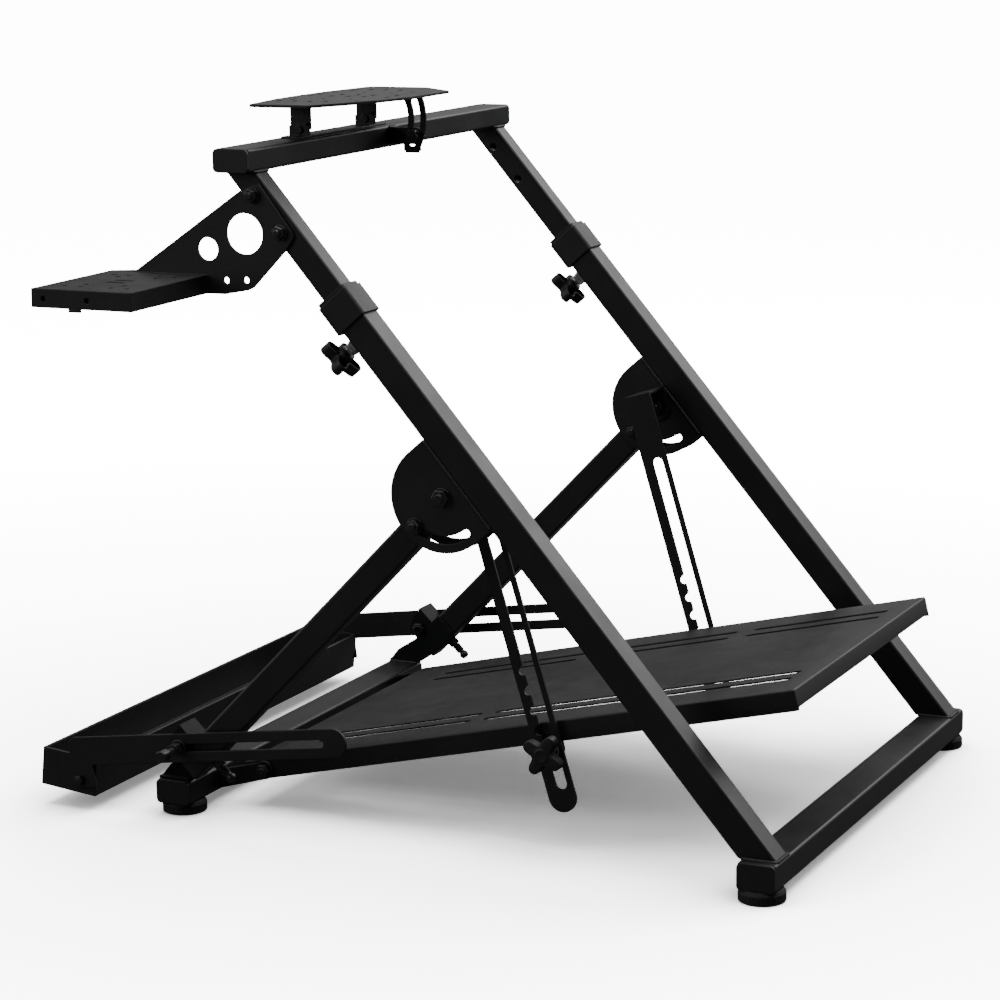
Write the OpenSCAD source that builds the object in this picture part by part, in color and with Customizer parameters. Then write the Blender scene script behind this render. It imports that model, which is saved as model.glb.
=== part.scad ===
// Folding stand for a racing wheel, pedals and a gear lever, in black steel.
// X is across the stand, +Y points away from the driver, Z is up from the floor.

/* [Front frame] */
// Distance between the centre lines of the two front legs
leg_span = 566; // [480:2:640]
// Width of a front leg tube, across the stand
leg_w = 32; // [28:0.5:38]
// Depth of a front leg tube
leg_d = 31.5; // [28:0.5:36]
// Wall of the front leg tubes
leg_wall = 1.8; // [1:0.1:2.2]
// Length of a front leg, from the foot bar's middle to the tube's top
leg_len = 700; // [660:5:740]
// Angle of the front legs above the floor
lean = 49.6; // [47:0.1:53]
// How far the front legs' centre line meets the foot bar ahead of its middle
leg_ahead = 8.5; // [6:0.5:11]
// Corner radius of the tubes
tube_r = 3; // [2:0.5:4]

/* [Foot bars and feet] */
// Length of the front foot bar without its caps
front_bar_len = 616; // [600:2:700]
// Length of the rear foot bar without its caps
rear_bar_len = 550; // [540:2:560]
// Depth of both foot bars
bar_d = 40; // [38:1:46]
// Height of the front foot bar
front_bar_h = 28; // [26:0.5:34]
// Height of the rear foot bar
rear_bar_h = 26; // [24:0.5:30]
// Wall of the bars
bar_wall = 1.8; // [1:0.1:2.2]
// Thickness of the caps' flanges
cap_t = 4; // [2:0.5:6]
// Depth of the caps' plugs
cap_plug = 6; // [4:0.5:7]
// Height of the rubber feet
foot_h = 13; // [10:0.5:18]
// Radius of the rubber feet
foot_r = 24; // [18:0.5:26]
// Distance between the two front feet
front_feet_span = 586; // [560:2:600]
// Distance between the two rear feet
rear_feet_span = 508; // [480:2:516]
// Radius of the feet's studs
stud_r = 4; // [3:0.25:5]

/* [Height adjustment] */
// Width of the inner tubes
inner_w = 25; // [22:0.5:26]
// Depth of the inner tubes
inner_d = 27; // [24:0.5:27]
// Wall of the inner tubes
inner_wall = 1.5; // [1:0.1:2]
// How far the inner tubes reach down into the legs
inner_in = 140; // [120:5:160]
// Width of the plastic collars
collar_w = 37; // [35.5:0.5:40]
// Depth of the plastic collars
collar_d = 40; // [38:0.5:42]
// How much further the collars stand out behind than in front
collar_back = 1.3; // [0:0.1:2]
// Length of a collar that grips the leg
collar_low = 15.5; // [12:0.5:22]
// Length of a collar above the leg
collar_up = 21.5; // [16:0.5:26]
// Gap between the inner tube and the collar's bore
slide_gap = 0.3; // [0.2:0.05:0.5]
// Distance of the height knobs below the legs' tops
knob_down = 31; // [28:1:45]

/* [Top bar] */
// How far the inner tubes' centre lines stand out of the legs, up to the top bar
inner_out = 178.485; // [155:1:245]
// Length of the top bar without its caps
top_len = 614; // [600:2:640]
// Depth of the top bar
top_d = 40; // [38:1:44]
// Height of the top bar
top_h = 24; // [22:0.5:28]
// How far the top bar sits behind the inner tubes' centre
top_back = 2.9; // [2:0.1:4.5]

/* [Folding pivot] */
// Distance of the pivot up the leg
pivot_up = 492; // [470:1:520]
// Distance of the pivot behind the leg's centre line
pivot_back = 37.4; // [37:0.1:42]
// Radius of the pivot ears
ear_r = 57; // [54:0.5:62]
// Sheet thickness of the pivot ears
ear_t = 3; // [2:0.25:3.25]
// Radius of the pivot bolt
pivot_r = 5; // [4:0.25:6]
// Distance of the locking bolt from the pivot
lock_at = 43.5; // [42:0.5:45]
// Radius of the locking bolt
lock_r = 4; // [3:0.25:4.5]
// Angle that the rear frame folds through
fold_range = 78; // [60:1:80]

/* [Rear frame] */
// Width of a rear leg tube
rear_w = 25; // [22:0.5:25]
// Depth of a rear leg tube
rear_d = 30; // [28:0.5:31]
// Angle of the rear legs above the floor
rear_lean = 45.5; // [44:0.1:47.5]
// How far the rear leg's centre line lies below the pivot
rear_drop = 1.5; // [0:0.1:2]
// How far the rear leg reaches above the pivot
rear_top = 9; // [8:0.25:9.5]
// Height of the rear legs' cut ends above the rear foot bar
shoe_h = 21.6; // [18:0.2:25]
// How far the rear foot bar's middle sits behind the legs' ends
rear_bar_back = 27.7; // [24:0.1:32]
// Sheet thickness of the foot brackets
bracket_t = 3; // [2:0.25:3.5]
// How far the foot bracket's tab stands above the leg
tab_h = 23; // [18:0.5:26]
// Distance of the clamp bolt from the leg's end
clamp_up = 14; // [12:0.5:18]
// Distance of the clamp bolt above the rear leg's face
clamp_off = 5.6; // [5:0.1:7]
// Radius of the clamp bolt
clamp_r = 4; // [3:0.25:4.5]

/* [Pedal deck] */
// Width of the deck
deck_w = 430; // [400:2:432]
// Length of the deck
deck_len = 644; // [600:2:660]
// Angle of the deck at rest
deck_slope = 12.9; // [10:0.1:14]
// Sheet thickness of the deck
deck_t = 2.5; // [1.5:0.25:3]
// Depth of the deck's skirts
skirt_h = 22; // [18:0.5:26]
// Height of the deck's top above its hinge
deck_up = 12; // [11:0.5:14]
// How far the deck reaches behind its hinge
deck_tail = 23; // [18:0.5:26]
// How far the deck hinge lies ahead of the rear bar's middle
hinge_ahead = 79; // [70:1:90]
// Height of the deck hinge
hinge_z = 43; // [40:0.5:48]
// Distance of the locking stud ahead of the deck hinge, along the deck
stud_ahead = 348; // [340:1:356]
// Depth of the locking stud below the deck hinge
stud_low = 16; // [12:0.5:18]

/* [Hangers] */
// Gap between the deck's side and a hanger
hanger_gap = 5; // [4:0.5:9]
// Sheet thickness of the hangers
hanger_t = 3; // [2:0.25:3.5]
// Width of the hangers
hanger_w = 31; // [29:0.5:34]
// Distance from the pivot to the hanger's lower end centre
hanger_len = 336; // [325:1:350]
// Width of the hanger's slot
slot_w = 13; // [12.5:0.1:14]
// Width of the hanger's rear prong
prong_w = 12; // [11:0.5:12.5]
// Distance between two notches
notch_pitch = 21.5; // [19:0.5:24]
// Number of notches
notches = 5; // [3:1:6]
// Depth of the notches
notch_in = 6.3; // [5:0.1:7]

/* [Caster trough] */
// Length of the trough
trough_len = 598; // [590:2:598]
// Sheet thickness of the trough and its arms
trough_t = 3; // [2:0.25:3]
// Depth of the trough, front to back
trough_d = 68; // [60:1:76]
// Height of the trough's walls
trough_h = 42; // [34:1:46]
// Angle that the trough's floor falls towards the front
trough_tip = 6; // [0:0.5:8]
// How far the trough reaches behind its bolts
trough_behind = 50; // [44:1:56]
// How far the trough reaches below its bolts
trough_below = 16; // [12:0.5:18]
// Angle that the arms fall towards the rear
arm_pitch = 7.8; // [6:0.2:8.4]
// Width of the trough's arms
arm_w = 31; // [28:0.5:34]
// Length of the arms ahead of the clamp bolt
arm_front = 187; // [170:1:200]
// Length of the arms behind the clamp bolt
arm_rear = 139; // [130:1:160]
// Length of the arms' slots
arm_slot = 172; // [150:1:176]
// Depth of the hooks at the arms' rear ends
hook_h = 25; // [22:1:28]
// Width of those hooks
hook_w = 27; // [22:1:32]

/* [Wheel plate] */
// Width of the wheel plate
plate_w = 274; // [260:2:320]
// Sheet thickness of the wheel plate
plate_t = 3; // [2:0.25:4]
// How far the wheel plate's middle sits beside the stand's middle
plate_x = 87; // [61:2:109]
// Height of the plate's top above the top bar
plate_up = 38; // [34:0.5:44]
// Height of the plate hinge above the top bar
post_pin = 8; // [7.75:0.25:9]
// Distance between the two plate posts
post_span = 148; // [130:2:170]
// Depth of the plate posts
post_d = 23.5; // [18:0.5:24]
// Sheet thickness of the posts
post_t = 3; // [2:0.25:4]
// Radius of the tilt arc's slot about the plate hinge
arc_r = 56; // [52:0.5:60]
// Width of the tilt arc
arc_w = 21; // [18:0.5:22]
// Angle that the plate tilts down at the front
tilt_down = 25; // [15:1:28]
// Angle that the plate tilts up at the front
tilt_up = 5; // [0:1:8]

/* [Gear lever shelf] */
// Length of the shelf across the stand
shelf_len = 147; // [120:1:170]
// Depth of the shelf
shelf_d = 116; // [100:1:130]
// Height of the shelf's top below the top bar's middle
shelf_down = 118; // [110:1:130]
// Sheet thickness of the shelf and its gusset
shelf_t = 3; // [2:0.25:4]
// Depth of the shelf's flanges
shelf_flange = 19; // [14:0.5:24]
// Distance between the two gusset bolts
gusset_bolts = 48; // [44:1:52]

/* [Hidden] */
$fn = 48;

// Clearance radii round bolts and studs, and the side gap of moving sheets
free_gap = 0.3;
run_gap = 0.06;
side_gap = 0.3;
touch = 0.02;
eps = 0.01;
// How much wider a curved slot is at its round ends
end_ease = 0.06;

// Front legs
leg_x = leg_span / 2;
front_bar_top = foot_h + front_bar_h;
leg_y = leg_ahead;
leg_z = foot_h + front_bar_h / 2;
knob_s = leg_len - knob_down;
collar_s = leg_len - collar_low;

// Top bar, set where the inner tubes' centre line meets its underside
tube_top_s = leg_len + inner_out;
top_under = leg_z + tube_top_s * sin(lean);
top_z = top_under + top_h / 2;
top_top = top_z + top_h / 2;
top_y = leg_y - tube_top_s * cos(lean) - top_back;

// Folding pivot and rear legs
pivot_y = leg_y - pivot_up * cos(lean) - pivot_back * sin(lean);
pivot_z = leg_z + pivot_up * sin(lean) - pivot_back * cos(lean);
rear_bar_top = foot_h + rear_bar_h;
rear_len = (pivot_z - rear_bar_top - shoe_h) / sin(rear_lean);
rear_face = rear_d / 2 - rear_drop;
ear_gap = leg_w - 2 * ear_t;
rear_in_x = leg_x - rear_w / 2;
rear_out_x = leg_x + rear_w / 2;
rear_bar_y = rear_pt(rear_len, 0)[0] - rear_bar_back;
rear_bar_front = rear_bar_y + bar_d / 2;

// A point of the rear leg's side: distance down from the pivot, height above its centre
function rear_pt(down, up) = [
    pivot_y - down * cos(rear_lean) - up * sin(rear_lean),
    pivot_z - down * sin(rear_lean) + up * cos(rear_lean)
];

// Clamp bolt that carries a trough arm
clamp_pt = rear_pt(rear_len - clamp_up, rear_face + clamp_off);
clamp_y = clamp_pt[0];
clamp_z = clamp_pt[1];
clamp_out = 37;

// Trough arms and trough, hung on a bolt near the arms' rear ends
arm_x = leg_x + leg_w / 2;
hook_z = -arm_w / 2 - hook_h;
hook_bolt = [8 - arm_rear, hook_z + 9];
trough_bolt = [
    clamp_y + hook_bolt[0] * cos(arm_pitch) - hook_bolt[1] * sin(arm_pitch),
    clamp_z + hook_bolt[0] * sin(arm_pitch) + hook_bolt[1] * cos(arm_pitch)
];
trough_y0 = -trough_behind;
trough_z0 = -trough_below;

// Deck
hinge_y = rear_bar_y + hinge_ahead;
deck_half = deck_w / 2;
hanger_x = deck_half + hanger_gap;
deck_front = deck_len - deck_tail;
stud_y = hinge_y + stud_ahead * cos(deck_slope) + stud_low * sin(deck_slope);
stud_z = hinge_z + stud_ahead * sin(deck_slope) - stud_low * cos(deck_slope);

// Hangers, turned so that the stud runs in the middle of the slot
slot_off = prong_w + slot_w / 2 - hanger_w / 2;
stud_dist = norm([stud_y - pivot_y, stud_z - pivot_z]);
stud_far = sqrt(stud_dist * stud_dist - slot_off * slot_off);
hanger_angle = atan2(pivot_z - stud_z, stud_y - pivot_y) + asin(slot_off / stud_dist);

// Wheel plate hinge and tilt bolt
pin_y = top_y;
pin_z = top_top + post_pin;
tilt_a = 20;
tilt_y = pin_y + arc_r * cos(tilt_a);
tilt_z = pin_z - arc_r * sin(tilt_a);

// Shelf
shelf_z = top_z - shelf_down;
gusset_x = leg_x + inner_w / 2;
shelf_x1 = gusset_x + shelf_t + shelf_len;
shelf_y0 = top_y - 154;

// The stand's own origin: on the floor, below the middle of its outer box
box_x0 = -(arm_x + trough_t + side_gap + clamp_out);
box_x1 = shelf_x1;
box_y0 = trough_bolt[0] + trough_y0 * cos(trough_tip) + trough_z0 * sin(trough_tip);
box_y1 = foot_r;
box_x = (box_x0 + box_x1) / 2;
box_y = (box_y0 + box_y1) / 2;

steel = [0.075, 0.075, 0.08];
plastic = [0.05, 0.05, 0.055];
rubber = [0.035, 0.035, 0.035];
zinc = [0.12, 0.12, 0.13];

// Placing

module placed() {
    translate([-box_x, -box_y, 0]) children();
}

module on_side(side) {
    if (side > 0) children();
    else mirror([1, 0, 0]) children();
}

// Local z runs up the front leg, local y stands off its front face
module leg_frame() {
    translate([0, leg_y, leg_z]) rotate([90 - lean, 0, 0]) children();
}

// Local z runs up the rear leg from the pivot, local y stands off its lower face
module rear_frame() {
    translate([0, pivot_y, pivot_z]) rotate([rear_lean - 90, 0, 0]) children();
}

// Local y runs forward along the deck from its hinge, local z stands off its top
module deck_frame() {
    translate([0, hinge_y, hinge_z]) rotate([deck_slope, 0, 0]) children();
}

// Local y runs forward along the trough's arm from the clamp bolt
module arm_frame() {
    translate([0, clamp_y, clamp_z]) rotate([arm_pitch, 0, 0]) children();
}

// Local y runs forward along the trough's floor from its bolts
module trough_frame() {
    translate([0, trough_bolt[0], trough_bolt[1]]) rotate([-trough_tip, 0, 0]) children();
}

// Local z runs down the hanger from the pivot, local y stands off its front edge
module hanger_frame() {
    translate([0, pivot_y, pivot_z]) rotate([270 - hanger_angle, 0, 0])
        mirror([0, 1, 0]) children();
}

// A drawing in Y and Z made into a sheet from x0, t thick
module sheet_x(x0, t) {
    translate([x0, 0, 0]) rotate([90, 0, 90]) linear_extrude(t) children();
}

// A rod or bore along X
module rod_x(x0, x1, r) {
    translate([x0, 0, 0]) rotate([0, 90, 0]) cylinder(r = r, h = x1 - x0);
}

module hex_x(x0, x1, flats) {
    translate([x0, 0, 0]) rotate([0, 90, 0]) cylinder(r = flats / sqrt(3), h = x1 - x0, $fn = 6);
}

// Shapes that several parts share

module rounded(w, d, r) {
    square([w - 2 * r, d], center = true);
    square([w, d - 2 * r], center = true);
    for (x = [-1, 1], y = [-1, 1])
        translate([x * (w / 2 - r), y * (d / 2 - r)]) circle(r);
}

module tube_profile(w, d, wall) {
    difference() {
        rounded(w, d, tube_r);
        rounded(w - 2 * wall, d - 2 * wall, tube_r - wall / 2);
    }
}

module bar_x(len, d, h, wall) {
    rotate([90, 0, 90]) linear_extrude(len, center = true) tube_profile(d, h, wall);
}

// Plastic cap for a bar's end, its flange standing from x0
module bar_cap(x0, d, h, wall) {
    fit = 2 * (wall + 0.15);
    translate([x0, 0, 0]) rotate([90, 0, 90]) {
        linear_extrude(cap_t) rounded(d, h, tube_r + 2);
        translate([0, 0, -cap_plug]) linear_extrude(cap_plug + eps) difference() {
            rounded(d - fit, h - fit, tube_r - wall / 2);
            rounded(d - fit - 4, h - fit - 4, 1);
        }
    }
}

// Rubber foot with its stud, standing on the floor
module foot() {
    rotate_extrude($fn = 64) polygon([
        [0, 0], [foot_r - 1.5, 0], [foot_r, 1.5], [foot_r, foot_h - 3.5],
        [foot_r - 1.5, foot_h - 2], [foot_r - 3, foot_h], [0, foot_h]
    ]);
    translate([0, 0, foot_h - eps]) cylinder(r = stud_r, h = 12);
}

// Star knob, its stud pointing down local z
module star_knob(stud_len, lobe_r = 7.5, thick = 12, lobes = 5) {
    reach = 15;
    translate([0, 0, -stud_len]) cylinder(r = 4, h = stud_len + 1);
    translate([0, 0, -6]) cylinder(r = 9, h = 7);
    cylinder(r = 13.5, h = thick);
    for (i = [0 : lobes - 1])
        rotate([0, 0, i * 360 / lobes + 18]) translate([reach, 0, 0]) cylinder(r = lobe_r, h = thick);
}

module slot_2d(len, w) {
    translate([0, -w / 2]) square([len, w]);
    circle(w / 2);
    translate([len, 0]) circle(w / 2);
}

// Parts of the front frame

module front_foot_bar() {
    color(steel) placed() difference() {
        translate([0, 0, leg_z]) bar_x(front_bar_len, bar_d, front_bar_h, bar_wall);
        for (x = [-1, 1]) translate([x * front_feet_span / 2, 0, foot_h - 1])
            cylinder(r = stud_r + free_gap, h = bar_wall + 2);
    }
}

module front_bar_caps() {
    color(plastic) placed() for (s = [1, -1]) on_side(s)
        translate([0, 0, leg_z]) bar_cap(front_bar_len / 2, bar_d, front_bar_h, bar_wall);
}

module front_feet() {
    color(rubber) placed() for (x = [-1, 1]) translate([x * front_feet_span / 2, 0, 0]) foot();
}

// Leg tube, cut level where it stands on the foot bar, with the nut for its knob
module leg_tube() {
    color(steel) placed() difference() {
        leg_frame() difference() {
            union() {
                translate([leg_x, 0, -60]) linear_extrude(leg_len + 60)
                    tube_profile(leg_w, leg_d, leg_wall);
                translate([leg_x, -leg_d / 2 + eps, knob_s]) rotate([90, 0, 0])
                    cylinder(r = 8, h = 6);
            }
            translate([leg_x, 0, knob_s]) rotate([90, 0, 0])
                cylinder(r = 4 + free_gap, h = leg_d);
        }
        translate([leg_x - leg_w, -150, front_bar_top - 200]) cube([2 * leg_w, 300, 200]);
    }
}

module right_leg_tube() { leg_tube(); }
module left_leg_tube() { placed() mirror([1, 0, 0]) translate([box_x, box_y, 0]) leg_tube(); }

// Collar that caps the leg and guides the inner tube
module collar() {
    color(plastic) placed() leg_frame() translate([leg_x, 0, 0]) difference() {
        union() {
            translate([0, -collar_back, collar_s]) linear_extrude(collar_low + collar_up - 4)
                rounded(collar_w, collar_d, tube_r + 1);
            translate([0, -collar_back, collar_s]) linear_extrude(collar_low + collar_up)
                rounded(collar_w - 3, collar_d - 3, tube_r + 1);
        }
        translate([0, 0, collar_s - 1]) linear_extrude(collar_low + 1)
            rounded(leg_w + 0.4, leg_d + 0.4, tube_r + 0.2);
        translate([0, 0, collar_s]) linear_extrude(80)
            rounded(inner_w + 2 * slide_gap, inner_d + 2 * slide_gap, tube_r);
    }
}

module right_collar() { collar(); }
module left_collar() { placed() mirror([1, 0, 0]) translate([box_x, box_y, 0]) collar(); }

// Knob whose stud presses on the inner tube
module height_knob() {
    reach = 21;
    color(plastic) placed() leg_frame()
        translate([leg_x, -leg_d / 2 - reach, knob_s]) rotate([90, 0, 0])
            star_knob(reach + leg_d / 2 - inner_d / 2 - side_gap);
}

module right_height_knob() { height_knob(); }
module left_height_knob() { placed() mirror([1, 0, 0]) translate([box_x, box_y, 0]) height_knob(); }

// Outline of a pivot ear in the leg's frame: y off the leg, z up it
module ear_2d() {
    a0 = 90 + lean + rear_lean;
    a1 = a0 + fold_range + 4;
    w = lock_r + 0.25;
    difference() {
        union() {
            translate([-pivot_back, pivot_up]) circle(ear_r, $fn = 96);
            translate([-pivot_back, pivot_up - ear_r])
                square([pivot_back - leg_d / 2, 2 * ear_r]);
        }
        translate([-leg_d / 2, pivot_up - 2 * ear_r]) square([ear_r, 4 * ear_r]);
        translate([-pivot_back, pivot_up]) {
            circle(pivot_r + free_gap);
            intersection() {
                difference() {
                    circle(lock_at + w, $fn = 96);
                    circle(lock_at - w, $fn = 96);
                }
                polygon([[0, 0], for (i = [0 : 4]) 90 * [cos(a0 + (a1 - a0) * i / 4),
                                                       sin(a0 + (a1 - a0) * i / 4)]]);
            }
            for (a = [a0, a1]) rotate(a) translate([lock_at, 0]) circle(w + end_ease);
        }
    }
}

module pivot_ears() {
    color(steel) placed() leg_frame() {
        sheet_x(leg_x + ear_gap / 2, ear_t) ear_2d();
        sheet_x(leg_x - ear_gap / 2 - ear_t, ear_t) ear_2d();
    }
}

module right_pivot_ears() { pivot_ears(); }
module left_pivot_ears() { placed() mirror([1, 0, 0]) translate([box_x, box_y, 0]) pivot_ears(); }

// Bolts that carry the rear legs and the hangers, with nuts inboard
module pivot_bolts() {
    inner = leg_x - leg_w / 2;
    outer = leg_x + leg_w / 2;
    nut = inner - hanger_t - 2 * side_gap;
    color(zinc) placed() for (s = [1, -1]) on_side(s)
        translate([0, pivot_y, pivot_z]) {
            rod_x(nut - 8, outer + 1, pivot_r);
            rod_x(outer, outer + 1.6, 2 * pivot_r);
            hex_x(outer + 1.5, outer + 7.5, 3.3 * pivot_r);
            hex_x(nut - 7, nut, 3.3 * pivot_r);
        }
}

// Parts of the upper frame

// Square tube that slides in the leg, cut level under the top bar
module inner_tube() {
    bolt_s = tube_top_s - 27;
    color(steel) placed() difference() {
        leg_frame() difference() {
            translate([leg_x, 0, leg_len - inner_in]) linear_extrude(tube_top_s - leg_len + inner_in + 40)
                tube_profile(inner_w, inner_d, inner_wall);
            for (i = [0, 1]) translate([0, -4, bolt_s - i * gusset_bolts])
                rod_x(leg_x - leg_w, leg_x + leg_w, 4 + free_gap);
        }
        translate([leg_x - leg_w, top_y - 150, top_under]) cube([2 * leg_w, 300, 100]);
    }
}

module right_inner_tube() { inner_tube(); }
module left_inner_tube() { placed() mirror([1, 0, 0]) translate([box_x, box_y, 0]) inner_tube(); }

module top_bar() {
    color(steel) placed() translate([0, top_y, top_z]) bar_x(top_len, top_d, top_h, bar_wall);
}

module top_bar_caps() {
    color(plastic) placed() for (s = [1, -1]) on_side(s)
        translate([0, top_y, top_z]) bar_cap(top_len / 2, top_d, top_h, bar_wall);
}

// Gusset outline, in Y and Z from the top bar's middle
module gusset_2d() {
    difference() {
        translate([top_y, top_z]) polygon([
            [2.8, -31], [25.2, -23.3], [61.5, -70.4], [63.6, -76.3], [54, -89.8], [15.8, -129],
            [9, -132], [-17, -shelf_down - shelf_flange], [-154, -shelf_down - shelf_flange],
            [-154, -shelf_down], [-122, -shelf_down + 1.7]
        ]);
        translate([top_y, top_z]) {
            translate([7.2, -74.4]) circle(21);
            translate([-36.2, -91.3]) circle(12);
            translate([-15.6, -122.6]) circle(3.6);
            translate([7.8, -121.6]) circle(3.6);
        }
    }
}

// Gusset with the shelf bent out of it, flanged on three sides
module shifter_bracket() {
    bolt_s = tube_top_s - 27;
    x0 = gusset_x;
    color(steel) placed() difference() {
        union() {
            sheet_x(x0, shelf_t) gusset_2d();
            translate([x0, shelf_y0, shelf_z - shelf_t]) cube([shelf_x1 - x0, shelf_d, shelf_t]);
            translate([shelf_x1 - shelf_t, shelf_y0, shelf_z - shelf_flange])
                cube([shelf_t, shelf_d, shelf_flange]);
            for (y = [shelf_y0, shelf_y0 + shelf_d - shelf_t])
                translate([x0, y, shelf_z - shelf_flange]) cube([shelf_x1 - x0, shelf_t, shelf_flange]);
        }
        leg_frame() for (i = [0, 1]) translate([0, -4, bolt_s - i * gusset_bolts])
            rod_x(x0 - 1, x0 + shelf_t + 1, 4 + free_gap);
        for (x = [-30, 30], y = [-22.5, 22.5])
            translate([(x0 + shelf_x1) / 2 + x, shelf_y0 + shelf_d / 2 + y, shelf_z - 2 * shelf_t])
                cylinder(r = 3.3, h = 3 * shelf_t);
    }
}

// Bolts through the gusset and the right inner tube
module shifter_bolts() {
    bolt_s = tube_top_s - 27;
    out = gusset_x + shelf_t + touch;
    inn = leg_x - inner_w / 2 - touch;
    color(zinc) placed() leg_frame() for (i = [0, 1]) translate([0, -4, bolt_s - i * gusset_bolts]) {
        rod_x(inn - 8, out + 1, 4);
        rod_x(out, out + 1.6, 8);
        hex_x(out + 1.5, out + 7, 13);
        hex_x(inn - 6.5, inn, 13);
    }
}

// Base strip on the top bar with two hinge ears and their riveted pins
module plate_hinge_base() {
    color(steel) placed() {
        translate([plate_x - post_span / 2 - 22, top_y - 12, top_top]) cube([post_span + 44, 24, 2]);
        for (s = [-1, 1]) translate([plate_x + s * post_span / 2, 0, 0]) {
            inner = -post_t / 2 - side_gap;
            outer = post_t / 2 + side_gap;
            sheet_x(outer, post_t) {
                translate([pin_y - post_d / 2, top_top + 1]) square([post_d, post_pin + 3]);
                translate([pin_y - post_d / 2 + 3, top_top + 1]) square([post_d - 6, post_pin + 6]);
            }
            translate([0, pin_y, pin_z]) {
                rod_x(inner - 1, outer + 1, 2.5);
                rod_x(inner - 2.2, inner, 4.6);
                rod_x(outer + post_t - 1, outer + post_t + 1.8, 4.6);
            }
        }
    }
}

// Angle on the top bar's front face that carries the tilt bolt
module tilt_bracket() {
    face = top_y + top_d / 2;
    color(steel) placed() difference() {
        union() {
            sheet_x(-3, 3) {
                translate([tilt_y, tilt_z]) circle(9);
                translate([face, tilt_z - 9]) square([tilt_y - face, 18]);
            }
            translate([-16, face, tilt_z - 9]) cube([16, 3, 18]);
        }
        translate([0, tilt_y, tilt_z]) rod_x(-4, 1, 4 + free_gap);
    }
}

module tilt_bolt() {
    color(zinc) placed() translate([0, tilt_y, tilt_z]) {
        rod_x(-11, 6, 4);
        hex_x(-9.5, -3, 13);
        rod_x(post_t + 2 * side_gap, post_t + 2 * side_gap + 1.6, 8);
        hex_x(post_t + 2 * side_gap + 1.5, post_t + 2 * side_gap + 7, 13);
    }
}

// Parts of the wheel plate

module wheel_plate() {
    h = plate_w / 2;
    z0 = top_top + plate_up - plate_t;
    color(steel) placed() translate([plate_x, top_y, z0]) linear_extrude(plate_t) difference() {
        polygon([
            [-h, -20], [-h + 3, -27], [-h + 77, -38], [0, -40], [h - 77, -38], [h - 3, -27], [h, -20],
            [h, 42], [h - 37, 60], [h - 84, 79], [0, 90], [42 - h, 90], [-h, 42]
        ]);
        for (x = [-66, 66], y = [-14, 61]) translate([x, y]) circle(3.3);
        for (x = [-91, 81], y = [-20, -2, 16, 34]) translate([x, y]) slot_2d(10, 5.4);
        for (x = [-16, 6], y = [-24, 2, 22, 40, 68]) translate([x, y]) slot_2d(10, 5.4);
        for (x = [-46, 46], y = [-22, 12, 44]) translate([x, y]) circle(2.8);
    }
}

// Two posts under the plate, hinged at their feet
module plate_posts() {
    z1 = top_top + plate_up - plate_t;
    color(steel) placed() for (s = [-1, 1]) difference() {
        sheet_x(plate_x + s * post_span / 2 - post_t / 2, post_t) {
            translate([pin_y - post_d / 2, pin_z]) square([post_d, z1 - pin_z]);
            translate([pin_y, pin_z]) circle(5.5);
            translate([pin_y - 5.5, pin_z]) square([11, 6]);
        }
        translate([0, pin_y, pin_z]) rod_x(-post_span, plate_x + post_span, 2.5 + run_gap);
    }
}

// Slotted arc under the plate, turning about the hinge
module tilt_arc() {
    z1 = top_top + plate_up - plate_t;
    a0 = -tilt_a - tilt_up - 3;
    a1 = max(tilt_down - tilt_a + 3, 19);
    w = arc_w / 2;
    foot_y = pin_y + arc_r * cos(a0);
    foot_z = pin_z + arc_r * sin(a0);
    color(steel) placed() sheet_x(side_gap, post_t) difference() {
        union() {
            translate([pin_y, pin_z]) intersection() {
                difference() {
                    circle(arc_r + w, $fn = 96);
                    circle(arc_r - w, $fn = 96);
                }
                polygon([[0, 0], for (a = [a0 : 10 : 92]) 2 * arc_r * [cos(a), sin(a)]]);
            }
            translate([foot_y - w + 0.6, foot_z - w + 1.7]) square([2 * w - 1.2, w]);
            translate([foot_y - w + 2.6, foot_z - w - 0.3]) square([2 * w - 5.2, w]);
        }
        translate([pin_y, pin_z]) intersection() {
            difference() {
                circle(arc_r + 4.25, $fn = 96);
                circle(arc_r - 4.25, $fn = 96);
            }
            polygon([[0, 0], for (i = [0 : 4]) 2 * arc_r * [cos(a0 + (a1 - a0) * i / 4),
                                                          sin(a0 + (a1 - a0) * i / 4)]]);
        }
        for (a = [a0, a1]) translate([pin_y, pin_z]) rotate(a) translate([arc_r, 0])
            circle(4.25 + end_ease);
        translate([pin_y - 2 * arc_r, z1]) square(4 * arc_r);
    }
}

// Parts of the rear frame

module rear_leg() {
    color(steel) placed() rear_frame() difference() {
        translate([leg_x, rear_drop, -rear_len]) linear_extrude(rear_len + rear_top)
            tube_profile(rear_w, rear_d, inner_wall);
        rod_x(leg_x - leg_w, leg_x + leg_w, pivot_r + run_gap);
        translate([0, 0, -lock_at]) rod_x(leg_x - leg_w, leg_x + leg_w, lock_r + free_gap);
    }
}

module right_rear_leg() { rear_leg(); }
module left_rear_leg() { placed() mirror([1, 0, 0]) translate([box_x, box_y, 0]) rear_leg(); }

module rear_foot_bar() {
    color(steel) placed() difference() {
        translate([0, rear_bar_y, foot_h + rear_bar_h / 2])
            bar_x(rear_bar_len, bar_d, rear_bar_h, bar_wall);
        for (x = [-1, 1]) translate([x * rear_feet_span / 2, rear_bar_y, foot_h - 1])
            cylinder(r = stud_r + free_gap, h = bar_wall + 2);
    }
}

module rear_bar_caps() {
    color(plastic) placed() for (s = [1, -1]) on_side(s)
        translate([0, rear_bar_y, foot_h + rear_bar_h / 2])
            bar_cap(rear_bar_len / 2, bar_d, rear_bar_h, bar_wall);
}

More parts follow.
